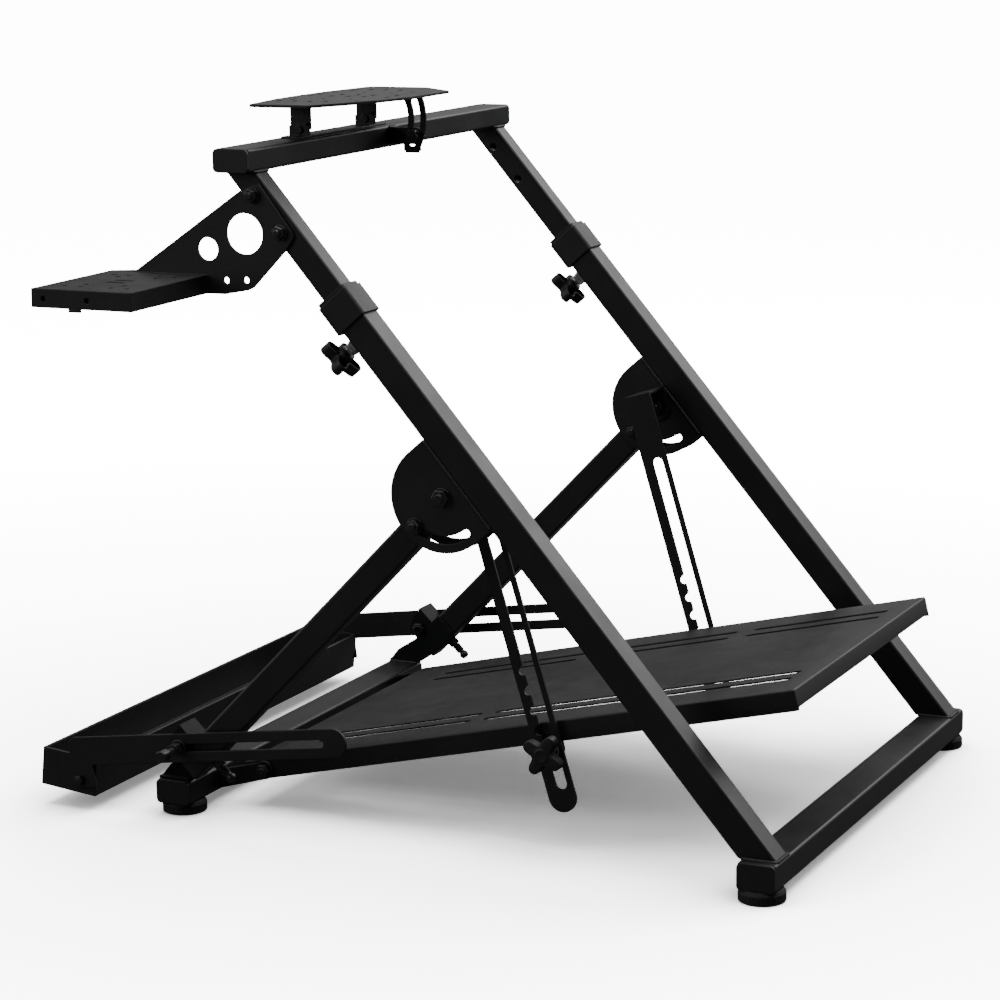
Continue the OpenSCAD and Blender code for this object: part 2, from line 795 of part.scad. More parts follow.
module rear_feet() {
    color(rubber) placed() for (x = [-1, 1])
        translate([x * rear_feet_span / 2, rear_bar_y, 0]) foot();
}

// Bent bracket that joins a rear leg to the foot bar and holds the clamp bolt
module foot_bracket() {
    x0 = rear_in_x - bracket_t - touch;
    x1 = arm_x - touch;
    top = rear_face + touch;
    cl = rear_len - clamp_up;
    color(steel) placed() difference() {
        union() {
            sheet_x(x0, bracket_t) {
                polygon([
                    [rear_bar_y - bar_d / 2 + 1, rear_bar_top], [rear_bar_y - bar_d / 2 + 14, rear_bar_top + 16],
                    rear_pt(rear_len, rear_face), rear_pt(rear_len - 44, rear_face),
                    rear_pt(rear_len - 44, -rear_d / 2 - rear_drop + 4),
                    rear_pt(rear_len - 30, -rear_d / 2 - rear_drop - 4),
                    [rear_bar_front, rear_bar_top]
                ]);
                clamp_lug_2d(cl, top - 2, top + tab_h - 1);
            }
            sheet_x(x1 - bracket_t, bracket_t) clamp_lug_2d(cl, top - 2, top + tab_h - 1);
            sheet_x(x0, x1 - x0) polygon([
                rear_pt(cl - 18, top), rear_pt(cl - 18, top + tab_h),
                rear_pt(cl - 15, top + tab_h), rear_pt(cl - 15, top)
            ]);
            translate([x0, rear_bar_y - bar_d / 2 + 2, rear_bar_top])
                cube([rear_bar_len / 2 - x0, bar_d - 4, bracket_t]);
        }
        translate([0, clamp_y, clamp_z]) rod_x(x0 - 1, x1 + 1, clamp_r + free_gap);
    }
}

module clamp_lug_2d(cl, low, high) {
    polygon([
        rear_pt(cl - 17, low), rear_pt(cl - 17, high), rear_pt(cl - 4, high),
        rear_pt(cl + 12, low + 16), rear_pt(cl + 12, low)
    ]);
}

module right_foot_bracket() { foot_bracket(); }
module left_foot_bracket() { placed() mirror([1, 0, 0]) translate([box_x, box_y, 0]) foot_bracket(); }

// Bolts that lock the fold, sliding in the ears' arc slots
module lock_bolts() {
    outer = leg_x + leg_w / 2 + side_gap;
    inner = leg_x - leg_w / 2 - side_gap;
    color(zinc) placed() for (s = [1, -1]) on_side(s) rear_frame() translate([0, 0, -lock_at]) {
        rod_x(inner - 8, outer + 1, lock_r);
        rod_x(outer, outer + 1.6, 2 * lock_r);
        hex_x(outer + 1.5, outer + 7, 13);
        hex_x(inner - 6.5, inner, 13);
    }
}

// Spring plungers on the rear legs' lower faces
module foot_plungers() {
    color(zinc) placed() for (s = [1, -1]) on_side(s) rear_frame()
        translate([leg_x, rear_d / 2 + rear_drop, -rear_len + 28]) rotate([-90, 0, 0]) {
            cylinder(r = 6, h = 8);
            cylinder(r = 4.5, h = 24);
            translate([0, 0, 24]) sphere(r = 4.5);
        }
}

// Outline of a hanger: first value off its middle, second down from the pivot
module hanger_2d() {
    h = hanger_w / 2;
    x0 = -h + prong_w;
    top = 60;
    difference() {
        union() {
            translate([-h, -22]) square([hanger_w, hanger_len + 22]);
            translate([0, hanger_len]) circle(h);
        }
        translate([x0, top]) square([slot_w, hanger_len - 15 - top]);
        translate([x0 + slot_w / 2, top]) circle(slot_w / 2);
        translate([x0 + slot_w / 2, hanger_len - 15]) circle(slot_w / 2);
        for (i = [0 : notches - 1]) translate([x0, stud_far - i * notch_pitch]) {
            translate([-notch_in + 4.5, 0]) circle(4.5);
            translate([-notch_in + 4.5, 0]) rotate(-32) translate([0, -4.5]) square([9, 9]);
        }
    }
}

// Slotted hanger with its top bent out to the pivot bolt
module hanger() {
    h = hanger_w / 2;
    lug = leg_x - leg_w / 2 - side_gap - hanger_t;
    color(steel) placed() hanger_frame() difference() {
        union() {
            sheet_x(hanger_x, hanger_t) hanger_2d();
            translate([hanger_x, -h, -22]) cube([lug + hanger_t - hanger_x, hanger_w, hanger_t]);
            sheet_x(lug, hanger_t) {
                circle(h);
                translate([-h, -22]) square([hanger_w, 22]);
            }
        }
        rod_x(lug - 1, lug + hanger_t + 1, pivot_r + run_gap);
    }
}

module right_hanger() { hanger(); }
module left_hanger() { placed() mirror([1, 0, 0]) translate([box_x, box_y, 0]) hanger(); }

module deck_hinge_brackets() {
    z0 = foot_h + 3;
    color(steel) placed() for (s = [1, -1]) on_side(s) difference() {
        sheet_x(deck_half + side_gap, 3) {
            translate([hinge_y, hinge_z]) circle(10);
            polygon([
                [rear_bar_front, z0], [hinge_y + 3, hinge_z - 9.5], [hinge_y, hinge_z + 10],
                [hinge_y - 12, hinge_z + 6], [rear_bar_front, rear_bar_top - 2]
            ]);
        }
        translate([0, hinge_y, hinge_z]) rod_x(deck_half, deck_half + 5, 4 + run_gap);
    }
}

// Long bolts that clamp the trough's arms
module clamp_bolts() {
    out = arm_x + trough_t + side_gap;
    inn = rear_in_x - bracket_t;
    color(zinc) placed() for (s = [1, -1]) on_side(s) translate([0, clamp_y, clamp_z]) {
        rod_x(inn - 9, out + clamp_out - 7, clamp_r);
        rod_x(out, out + 1.6, 9);
        hex_x(out + 1.5, out + 8, 13);
        rod_x(out + clamp_out - 11, out + clamp_out, 6.5);
        hex_x(inn - 6.5, inn, 13);
    }
}

// Parts of the pedal deck

module pedal_deck() {
    side_t = deck_t;
    corner = 4;
    low = deck_up - skirt_h;
    color(steel) placed() deck_frame() difference() {
        union() {
            translate([-deck_half, -deck_tail, deck_up - deck_t])
                cube([deck_w, deck_len, deck_t]);
            for (s = [-1, 1]) sheet_x(s > 0 ? deck_half - side_t : -deck_half, side_t) {
                translate([0, low]) square([deck_front - corner, skirt_h - eps]);
                circle(-low);
                translate([low, 0]) square([-low, deck_up - eps]);
                translate([stud_ahead, -stud_low]) circle(11);
                translate([stud_ahead - 11, -stud_low]) square([22, stud_low + low + 1]);
            }
            translate([corner - deck_half, deck_front - deck_t, low + 3])
                cube([deck_w - 2 * corner, deck_t, skirt_h - 3]);
        }
        rod_x(-deck_w, deck_w, 4 + free_gap);
        translate([0, stud_ahead, -stud_low]) rod_x(-deck_w, deck_w, 4 + free_gap);
        for (s = [-1, 1], x = [125, 155], seg = [[30, 150], [210, 165], [400, 180]])
            translate([s * x, deck_front - seg[0] - seg[1], deck_up - 2 * deck_t])
                linear_extrude(3 * deck_t) rotate(90) slot_2d(seg[1], 6);
    }
}

module deck_hinge_bolts() {
    out = deck_half + side_gap + 3;
    inn = deck_half - deck_t - touch;
    color(zinc) placed() for (s = [1, -1]) on_side(s) translate([0, hinge_y, hinge_z]) {
        rod_x(inn - 8, out + 1, 4);
        hex_x(out + side_gap, out + 5, 13);
        hex_x(inn - 6.5, inn, 13);
    }
}

// Knobs and studs that lock the deck in the hangers' notches
module deck_knobs() {
    out = hanger_x + hanger_t + side_gap;
    inn = deck_half - deck_t - touch;
    color(plastic) placed() for (s = [1, -1]) on_side(s)
        deck_frame() translate([0, stud_ahead, -stud_low]) {
            hex_x(inn - 5.5, inn, 13);
            rod_x(out, out + 1.6, 8.6);
            translate([out + 14, 0, 0]) rotate([0, 90, 0]) star_knob(out + 14 - inn + 8);
        }
}

// Parts of the caster trough

// Trough: sloping floor, rear and front walls and two end plates
module caster_trough() {
    half = trough_len / 2;
    color(steel) placed() trough_frame() difference() {
        translate([-half, trough_y0, trough_z0]) cube([trough_len, trough_d, trough_h]);
        translate([-half + trough_t, trough_y0 + trough_t, trough_z0 + trough_t])
            cube([trough_len - 2 * trough_t, trough_d - 2 * trough_t, trough_h]);
        rod_x(-half - 1, half + 1, 3 + free_gap);
    }
}

// Slotted arm, hooked down at its rear end
module trough_arm() {
    h = arm_w / 2;
    color(steel) placed() arm_frame() difference() {
        sheet_x(arm_x, trough_t) difference() {
            union() {
                translate([8 - arm_rear, -h]) square([arm_front + arm_rear - 8, arm_w]);
                translate([-arm_rear, hook_z]) square([hook_w, h - hook_z - 8]);
                translate([8 - arm_rear, h - 8]) circle(8);
                translate([arm_front, 0]) circle(h);
            }
            slot_2d(arm_slot, 2 * clamp_r + 0.6);
        }
        translate([0, hook_bolt[0], hook_bolt[1]])
            rod_x(arm_x - 1, arm_x + trough_t + 1, 3 + free_gap);
    }
}

module right_trough_arm() { trough_arm(); }
module left_trough_arm() { placed() mirror([1, 0, 0]) translate([box_x, box_y, 0]) trough_arm(); }

module trough_bolts() {
    out = arm_x + trough_t;
    inn = trough_len / 2 - trough_t;
    color(zinc) placed() for (s = [1, -1]) on_side(s)
        translate([0, trough_bolt[0], trough_bolt[1]]) {
            rod_x(inn - 6, out + 1, 3);
            hex_x(out, out + 4.5, 10);
            hex_x(inn - 5, inn, 10);
        }
}

front_foot_bar();
front_bar_caps();
front_feet();
right_leg_tube();
left_leg_tube();
right_collar();
left_collar();
right_height_knob();
left_height_knob();
right_pivot_ears();
left_pivot_ears();
pivot_bolts();
right_inner_tube();
left_inner_tube();
top_bar();
top_bar_caps();
shifter_bracket();
shifter_bolts();
plate_hinge_base();
tilt_bracket();
tilt_bolt();
wheel_plate();
plate_posts();
tilt_arc();
right_rear_leg();
left_rear_leg();
rear_foot_bar();
rear_bar_caps();
rear_feet();
right_foot_bracket();
left_foot_bracket();
lock_bolts();
foot_plungers();
right_hanger();
left_hanger();
deck_hinge_brackets();
clamp_bolts();
pedal_deck();
deck_hinge_bolts();
deck_knobs();
caster_trough();
right_trough_arm();
left_trough_arm();
trough_bolts();
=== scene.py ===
import math
import bpy
from mathutils import Matrix, Vector


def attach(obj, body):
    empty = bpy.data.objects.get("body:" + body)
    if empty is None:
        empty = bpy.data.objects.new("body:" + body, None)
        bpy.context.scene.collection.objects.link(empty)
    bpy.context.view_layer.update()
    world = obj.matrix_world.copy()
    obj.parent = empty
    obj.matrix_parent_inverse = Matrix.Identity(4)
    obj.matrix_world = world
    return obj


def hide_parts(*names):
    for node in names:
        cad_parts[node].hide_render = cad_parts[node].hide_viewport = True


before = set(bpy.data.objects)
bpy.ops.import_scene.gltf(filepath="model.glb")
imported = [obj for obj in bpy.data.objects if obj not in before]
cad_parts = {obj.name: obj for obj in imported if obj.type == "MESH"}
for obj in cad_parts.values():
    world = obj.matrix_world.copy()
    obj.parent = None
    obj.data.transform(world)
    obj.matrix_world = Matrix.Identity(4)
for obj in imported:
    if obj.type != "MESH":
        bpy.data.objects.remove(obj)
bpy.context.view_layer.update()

MM = 0.001
# The stand's middle line and floor origin, in its maker's millimetres
MIDDLE_X, MIDDLE_Y = 53.1, -403.467


def place(x, y, z):
    """A point given across, ahead of the front bar and above the floor, in metres of the frame."""
    return Vector(((x - MIDDLE_X) * MM, (y - MIDDLE_Y) * MM, z * MM))


def turn(axis, degrees):
    return Matrix.Rotation(math.radians(degrees), 4, axis)


def swing(y, z, degrees):
    """The place of a part that leans about a line across the stand."""
    return Matrix.Translation(place(0, y, z)) @ turn("X", degrees)


# Bolts and hinges that run across the stand, as (forward, up)
PIVOT = (-338.857, 377.437)
CLAMP = (-654.022, 83.973)
DECK_HINGE = (-598.912, 43)
TROUGH_BOLT = (-779.535, 34.986)
TILT_BOLT = (-511.141, 708.847)
# The same inside a leaning part
HEIGHT_KNOB = (-36.75, 669)
LOCK_BOLT = (0, -43.5)
PLUNGER = (16.5, -416.2)
DECK_KNOB = (348, -16)
GUSSET_BOLT, GUSSET_STEP = (-4, 851.485), 48

# Distances from the middle line
LEG_OUT, DECK_KNOB_OUT = 283, 237.3
FRONT_FOOT, REAR_FOOT = (293, 0), (254, -677.912)

# The gear lever shelf: its middle, its rear end and the holes along its flange
SHELF_MIDDLE = (372, -659.76)
SHELF_END, FLANGE_HOLES, FLANGE_HOLE_UP = -717.76, (14, 65), 580

# The pedal deck: half its width, its length ahead of the hinge, and its sheet
DECK_HALF, DECK_LENGTH, DECK_SHEET = 215, 621, 1.8

STAND = Matrix.Translation(place(0, 0, 0))
LEG = swing(8.5, 27, 90 - 49.6)
REAR = swing(*PIVOT, 45.5 - 90)
DECK = swing(*DECK_HINGE, 12.9)


# The camera, where the photograph was taken from
CAMERA_PLACE = (3003.1, 1006.4, 990.6)
CAMERA_TURN = (205.347, -11.535, -0.833)  # yaw, pitch and roll in degrees
FOCAL_PIXELS = 3086.7  # in a photograph 1000 pixels wide


def set_camera():
    yaw, pitch, roll = (math.radians(a) for a in CAMERA_TURN)
    ahead = Vector((math.cos(yaw) * math.cos(pitch), math.sin(yaw) * math.cos(pitch), math.sin(pitch)))
    side = Vector((math.sin(yaw), -math.cos(yaw), 0))
    up = side.cross(ahead)
    side, up = (math.cos(roll) * side + math.sin(roll) * up,
                -math.sin(roll) * side + math.cos(roll) * up)
    lens = bpy.data.cameras.new("camera")
    lens.sensor_width = 36
    lens.lens = lens.sensor_width * FOCAL_PIXELS / 1000
    lens.clip_start, lens.clip_end = 0.05, 200
    camera = bpy.data.objects.new("camera", lens)
    bpy.context.scene.collection.objects.link(camera)
    facing = Matrix((side, up, -ahead)).transposed().to_4x4()
    camera.matrix_world = Matrix.Translation(place(*CAMERA_PLACE)) @ facing
    bpy.context.scene.camera = camera


set_camera()


# Shared effects for the finishes

def start_group(name, takes, gives):
    group = bpy.data.node_groups.new(name, "ShaderNodeTree")
    for label, value in takes:
        kind = "NodeSocketVector" if value is None else "NodeSocketFloat"
        socket = group.interface.new_socket(name=label, in_out="INPUT", socket_type=kind)
        if value is not None:
            socket.default_value = value
        else:
            socket.hide_value = True
    for label, kind in gives:
        group.interface.new_socket(name=label, in_out="OUTPUT", socket_type=kind)
    return group, group.nodes.new("NodeGroupInput"), group.nodes.new("NodeGroupOutput")


def wire(tree, *pairs):
    for source, target in pairs:
        tree.links.new(source, target)


def sum_up(tree, operation, first, second, clamp=False):
    node = tree.nodes.new("ShaderNodeMath")
    node.operation, node.use_clamp = operation, clamp
    for socket, value in zip(node.inputs, (first, second)):
        if isinstance(value, (int, float)):
            socket.default_value = value
        else:
            tree.links.new(value, socket)
    return node.outputs[0]


def stretch(tree, value, low, high, to_low=0.0, to_high=1.0):
    node = tree.nodes.new("ShaderNodeMapRange")
    node.inputs["From Min"].default_value, node.inputs["From Max"].default_value = low, high
    node.inputs["To Min"].default_value, node.inputs["To Max"].default_value = to_low, to_high
    tree.links.new(value, node.inputs["Value"])
    return node.outputs["Result"]


def cloud(tree, where, scale, detail=3.0, rough=0.5):
    node = tree.nodes.new("ShaderNodeTexNoise")
    node.inputs["Scale"].default_value = scale
    node.inputs["Detail"].default_value = detail
    node.inputs["Roughness"].default_value = rough
    tree.links.new(where, node.inputs["Vector"])
    return node.outputs["Fac"]


def make_edge_group():
    """Softens the look of sharp edges, and finds them for a lighter mark that is partly wear and partly a
    painted highlight.
    """
    group, takes, gives = start_group(
        "worn_and_highlit_edges", [("Radius", 0.0008), ("Wear_and_highlight", 0.5)],
        [("Normal", "NodeSocketVector"), ("Edge", "NodeSocketFloat")])
    rounder = group.nodes.new("ShaderNodeBevel")
    rounder.samples = 6
    shape = group.nodes.new("ShaderNodeNewGeometry")
    meet = group.nodes.new("ShaderNodeVectorMath")
    meet.operation = "DOT_PRODUCT"
    spot = group.nodes.new("ShaderNodeTexCoord")
    wire(group, (takes.outputs["Radius"], rounder.inputs["Radius"]),
         (rounder.outputs["Normal"], meet.inputs[0]), (shape.outputs["Normal"], meet.inputs[1]),
         (rounder.outputs["Normal"], gives.inputs["Normal"]))
    edge = stretch(group, meet.outputs["Value"], 0.985, 0.86)
    edge_patches = stretch(group, cloud(group, spot.outputs["Object"], 90, 4, 0.65), 0.42, 0.66)
    edge_mark_share = sum_up(group, "MULTIPLY", edge_patches, takes.outputs["Wear_and_highlight"])
    # Where the edges are lightened: partly wear, partly a painted highlight
    wear_and_highlight = sum_up(group, "MULTIPLY", edge, edge_mark_share, True)
    wire(group, (wear_and_highlight, gives.inputs["Edge"]))
    return group


def make_grain_group():
    """Fine pimples of baked powder or moulded plastic, with slow drifts in tone."""
    group, takes, gives = start_group(
        "grain", [("Pimples", 900.0), ("Depth", 0.00002), ("Normal", None)],
        [("Normal", "NodeSocketVector"), ("Tone", "NodeSocketFloat")])
    spot = group.nodes.new("ShaderNodeTexCoord")
    fine = group.nodes.new("ShaderNodeTexNoise")
    fine.inputs["Detail"].default_value = 2.0
    bump = group.nodes.new("ShaderNodeBump")
    bump.inputs["Strength"].default_value = 1.0
    wire(group, (spot.outputs["Object"], fine.inputs["Vector"]),
         (takes.outputs["Pimples"], fine.inputs["Scale"]),
         (fine.outputs["Fac"], bump.inputs["Height"]), (takes.outputs["Depth"], bump.inputs["Distance"]),
         (takes.outputs["Normal"], bump.inputs["Normal"]), (bump.outputs["Normal"], gives.inputs["Normal"]))
    drift = stretch(group, cloud(group, spot.outputs["Object"], 14, 4, 0.6), 0.3, 0.7)
    wire(group, (drift, gives.inputs["Tone"]))
    return group


def make_dust_group():
    """Thin dust that settles on faces that look up."""
    group, takes, gives = start_group("dust", [("Amount", 0.3)], [("Dust", "NodeSocketFloat")])
    spot = group.nodes.new("ShaderNodeTexCoord")
    shape = group.nodes.new("ShaderNodeNewGeometry")
    split = group.nodes.new("ShaderNodeSeparateXYZ")
    wire(group, (shape.outputs["Normal"], split.inputs[0]))
    facing = stretch(group, split.outputs["Z"], 0.55, 1.0)
    patch = stretch(group, cloud(group, spot.outputs["Object"], 40, 6, 0.7), 0.38, 0.8)
    lying = sum_up(group, "MULTIPLY", patch, takes.outputs["Amount"])
    laid = sum_up(group, "MULTIPLY", facing, lying, True)
    wire(group, (laid, gives.inputs["Dust"]))
    return group


EDGES, GRAIN, DUST = make_edge_group(), make_grain_group(), make_dust_group()
DUST_COLOUR = (0.16, 0.155, 0.15)


def blend_colour(tree, share, first, second):
    node = tree.nodes.new("ShaderNodeMix")
    node.data_type = "RGBA"
    tree.links.new(share, node.inputs["Factor"])
    for socket, value in ((node.inputs[6], first), (node.inputs[7], second)):
        if isinstance(value, tuple):
            socket.default_value = (*value, 1)
        else:
            tree.links.new(value, socket)
    return node.outputs[2]


def make_finish(name, dark, light, wear_and_highlight, rough, pimples, depth, edge=0.8, wear_and_highlight_amount=0.5, dust=0.3,
                metal=0.0, specular=0.5):
    """A finish of one colour that drifts between two tones, lighter along its edges with wear and a painted
    highlight, and dusty on top.
    """
    material = bpy.data.materials.new(name)
    material.use_nodes = True
    tree = material.node_tree
    shader = tree.nodes["Principled BSDF"]
    shader.inputs["Metallic"].default_value = metal
    shader.inputs["Specular IOR Level"].default_value = specular
    parts = []
    for group in (EDGES, GRAIN, DUST):
        node = tree.nodes.new("ShaderNodeGroup")
        node.node_tree = group
        parts.append(node)
    edges, grain, film = parts
    edges.inputs["Radius"].default_value = edge * MM
    edges.inputs["Wear_and_highlight"].default_value = wear_and_highlight_amount
    grain.inputs["Pimples"].default_value = pimples
    grain.inputs["Depth"].default_value = depth * MM
    film.inputs["Amount"].default_value = dust
    wire(tree, (edges.outputs["Normal"], grain.inputs["Normal"]),
         (grain.outputs["Normal"], shader.inputs["Normal"]))
    colour = blend_colour(tree, grain.outputs["Tone"], dark, light)
    # Lighter edges: partly wear, partly a painted highlight
    colour = blend_colour(tree, edges.outputs["Edge"], colour, wear_and_highlight)
    colour = blend_colour(tree, film.outputs["Dust"], colour, DUST_COLOUR)
    wire(tree, (colour, shader.inputs["Base Color"]))
    gloss = stretch(tree, grain.outputs["Tone"], 0, 1, rough - 0.04, rough + 0.05)
    gloss = sum_up(tree, "ADD", gloss, sum_up(tree, "MULTIPLY", film.outputs["Dust"], 0.5), True)
    wire(tree, (gloss, shader.inputs["Roughness"]))
    return material


# Each finish: its darker and lighter tone, its edge colour of wear and painted highlight, then roughness,
# pimples and their depth
POWDER = make_finish(
    "black_powder_coat", (0.0075, 0.0075, 0.008), (0.012, 0.012, 0.0125), (0.05, 0.05, 0.052),
    0.4, 1100, 0.035, edge=1.2, wear_and_highlight_amount=0.45, dust=0.1)
SHEET = make_finish(
    "black_sheet_coat", (0.008, 0.008, 0.0085), (0.013, 0.013, 0.0135), (0.055, 0.055, 0.058),
    0.46, 900, 0.045, edge=1.1, wear_and_highlight_amount=0.5, dust=0.15)
MOULDED = make_finish(
    "black_moulded_plastic", (0.008, 0.008, 0.008), (0.012, 0.012, 0.012), (0.03, 0.03, 0.03),
    0.5, 1600, 0.05, edge=1.2, wear_and_highlight_amount=0.15, dust=0.15)
FOOT_RUBBER = make_finish(
    "foot_rubber", (0.008, 0.008, 0.008), (0.014, 0.014, 0.013), (0.035, 0.034, 0.032),
    0.72, 2200, 0.06, edge=0.8, wear_and_highlight_amount=0.3, dust=0.3)
BRACKET = make_finish(
    "bracket_coat", (0.006, 0.006, 0.0065), (0.01, 0.01, 0.0105), (0.06, 0.06, 0.062),
    0.58, 900, 0.045, edge=1.0, wear_and_highlight_amount=0.6, dust=0.1, specular=0.2)
# Light edges on the bolts: painted glints, with some wear
BLACKED = make_finish(
    "blacked_bolt_steel", (0.04, 0.04, 0.041), (0.075, 0.074, 0.073), (0.4, 0.39, 0.37),
    0.3, 2600, 0.02, edge=0.5, wear_and_highlight_amount=0.8, dust=0.1, metal=0.8)
ZINC = make_finish(
    "zinc_plated_steel", (0.6, 0.6, 0.605), (0.75, 0.745, 0.74), (0.85, 0.84, 0.82),
    0.2, 2600, 0.01, edge=0.3, wear_and_highlight_amount=0.6, dust=0.1, metal=1.0)

SHEET_NODES = {"wheel_plate", "pedal_deck", "shifter_bracket", "caster_trough",
               "right_hanger", "left_hanger", "right_trough_arm", "left_trough_arm",
               "right_pivot_ears", "left_pivot_ears"}
BOLTED = ("bolt", "plunger")
MOULDED_WORDS = ("knob", "collar", "caps")


def dress_nodes():
    for name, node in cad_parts.items():
        if name in SHEET_NODES:
            finish = SHEET
        elif "foot_bracket" in name:
            finish = BRACKET
        elif any(word in name for word in BOLTED):
            finish = BLACKED
        elif any(word in name for word in MOULDED_WORDS):
            finish = MOULDED
        elif name.endswith("feet"):
            finish = FOOT_RUBBER
        else:
            finish = POWDER
        node.data.materials.clear()
        node.data.materials.append(finish)


dress_nodes()


# Making pieces

def inside(where, x, y, z):
    """A place inside a leaning part, in its own millimetres."""
    return where @ Matrix.Translation(Vector((x, y, z)) * MM)


def across(x, y, z, side):
    """A place for a piece that points outwards along the stand's width."""
    return Matrix.Translation(place(x * side, y, z)) @ turn("Y", 90 * side)


def turned(steps, sides=40):
    """A turned piece along local z, drawn up from its foot by heights and radii in millimetres."""
    bpy.ops.object.select_all(action="DESELECT")
    bpy.ops.mesh.primitive_circle_add(vertices=sides, radius=steps[0][1] * MM, fill_type="NGON")
    bpy.ops.object.mode_set(mode="EDIT")
    bpy.ops.mesh.select_all(action="SELECT")
    bpy.ops.transform.translate(value=(0, 0, steps[0][0] * MM))
    for (low, before), (high, after) in zip(steps, steps[1:]):
        bpy.ops.mesh.extrude_region_move(TRANSFORM_OT_translate={"value": (0, 0, (high - low) * MM)})
        bpy.ops.transform.resize(value=(after / before, after / before, 1),
                                 center_override=(0, 0, high * MM))
    bpy.ops.mesh.select_all(action="SELECT")
    bpy.ops.mesh.normals_make_consistent(inside=False)
    bpy.ops.object.mode_set(mode="OBJECT")
    return bpy.context.object


def block(low, high):
    """A block between two corners, in millimetres."""
    bpy.ops.object.select_all(action="DESELECT")
    bpy.ops.mesh.primitive_cube_add(size=1)
    piece = bpy.context.object
    bpy.ops.object.mode_set(mode="EDIT")
    bpy.ops.mesh.select_all(action="SELECT")
    bpy.ops.transform.resize(value=[(b - a) * MM for a, b in zip(low, high)])
    bpy.ops.transform.translate(value=[(a + b) / 2 * MM for a, b in zip(low, high)])
    bpy.ops.object.mode_set(mode="OBJECT")
    return piece


def put(piece, where):
    piece.data.transform(where)
    return piece


def pick_faces(piece, test):
    """Goes into edit mode with the faces chosen whose normal and middle pass the test."""
    bpy.ops.object.select_all(action="DESELECT")
    piece.select_set(True)
    bpy.context.view_layer.objects.active = piece
    bpy.ops.object.mode_set(mode="EDIT")
    bpy.ops.mesh.select_mode(type="FACE")
    bpy.ops.mesh.select_all(action="DESELECT")
    bpy.ops.object.mode_set(mode="OBJECT")
    for face in piece.data.polygons:
        face.select = test(face.normal, face.center)
    bpy.ops.object.mode_set(mode="EDIT")


def pick_edges(piece, test):
    """Goes into edit mode with the edges chosen whose two ends both pass the test."""
    pick_faces(piece, lambda n, c: False)
    bpy.ops.mesh.select_mode(type="EDGE")
    bpy.ops.object.mode_set(mode="OBJECT")
    for edge in piece.data.edges:
        edge.select = all(test(piece.data.vertices[v].co) for v in edge.vertices)
    bpy.ops.object.mode_set(mode="EDIT")


def leave_edit():
    bpy.ops.object.mode_set(mode="OBJECT")


def shape(piece, tool, other):
    """Cuts, joins or keeps the common part of two pieces; the other one is used up."""
    modifier = piece.modifiers.new(tool.lower(), "BOOLEAN")
    modifier.operation, modifier.object, modifier.solver = tool, other, "EXACT"
    bpy.context.view_layer.objects.active = piece
    bpy.ops.object.modifier_apply(modifier=modifier.name)
    bpy.data.objects.remove(other)
    return piece


def soften(piece, width, segments=2, angle=40):
    modifier = piece.modifiers.new("soft_edges", "BEVEL")
    modifier.width, modifier.segments = width * MM, segments
    modifier.limit_method, modifier.angle_limit = "ANGLE", math.radians(angle)
    bpy.context.view_layer.objects.active = piece
    bpy.ops.object.modifier_apply(modifier=modifier.name)
    return piece


def gather(name, pieces, finish, body, slot, *nodes):
    """Joins pieces into one that rides on a body, in place of the nodes that it stands for."""
    bpy.ops.object.select_all(action="DESELECT")
    for piece in pieces:
        piece.select_set(True)
    bpy.context.view_layer.objects.active = pieces[0]
    if len(pieces) > 1:
        bpy.ops.object.join()
    whole = pieces[0]
    whole.name = name
    whole.data.materials.clear()
    whole.data.materials.append(finish)
    bpy.ops.object.shade_smooth_by_angle(angle=math.radians(32))
    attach(whole, body)
    if nodes:
        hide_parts(*nodes)
    return whole


# Fasteners

def thread(low, high, radius, pitch=1.25):
    """A threaded rod with its tip chamfered."""
    steps = [(low, radius - 0.7)]
    for i in range(int((high - low) / pitch)):
        z = low + pitch * i
        steps += [(z + 0.5 * pitch, radius), (z + 0.62 * pitch, radius), (z + pitch, radius - 0.7)]
    return turned(steps + [(high, radius - 0.7), (high + 0.01, radius - 1.6)], 24)


def nut(low, high, flats):
    """A hexagon with chamfered ends, by its width across the flats."""
    corner, chamfer = flats / math.sqrt(3), 0.9
    return turned([(low, 0.86 * corner), (low + chamfer, corner),
                   (high - chamfer, corner), (high, 0.86 * corner)], 6)


def washer(low, high, radius):
    return turned([(low, radius - 0.4), (low + 0.3, radius),
                   (high - 0.3, radius), (high, radius - 0.4)])


# Rubber feet with grooved rims

def rubber_foot(x, y):
    foot = turned([(0, 21), (0.01, 22.6), (1.4, 24), (9.5, 24),
                   (10.2, 23.3), (11.2, 23), (12.99, 21.6)], 90)
    # Every second face of the rim, four degrees wide each, is pressed in
    pick_faces(foot, lambda n, c: abs(n.z) < 0.1 and c.z > 2 * MM
               and round(math.degrees(math.atan2(c.y, c.x)) / 4 + 44.5) % 2 == 0)
    bpy.ops.mesh.inset(thickness=0.2 * MM, depth=-0.25 * MM, use_individual=True)
    leave_edit()
    return put(foot, Matrix.Translation(place(x, y, 0)))


def make_feet():
    for word, (x, y), body in (("front", FRONT_FOOT, "main_frame"), ("rear", REAR_FOOT, "rear_frame")):
        gather(word + "_rubber_feet", [rubber_foot(-x, y), rubber_foot(x, y)], FOOT_RUBBER,
               body, "rubber", word + "_feet")


# Knobs with four lobes, hollow behind

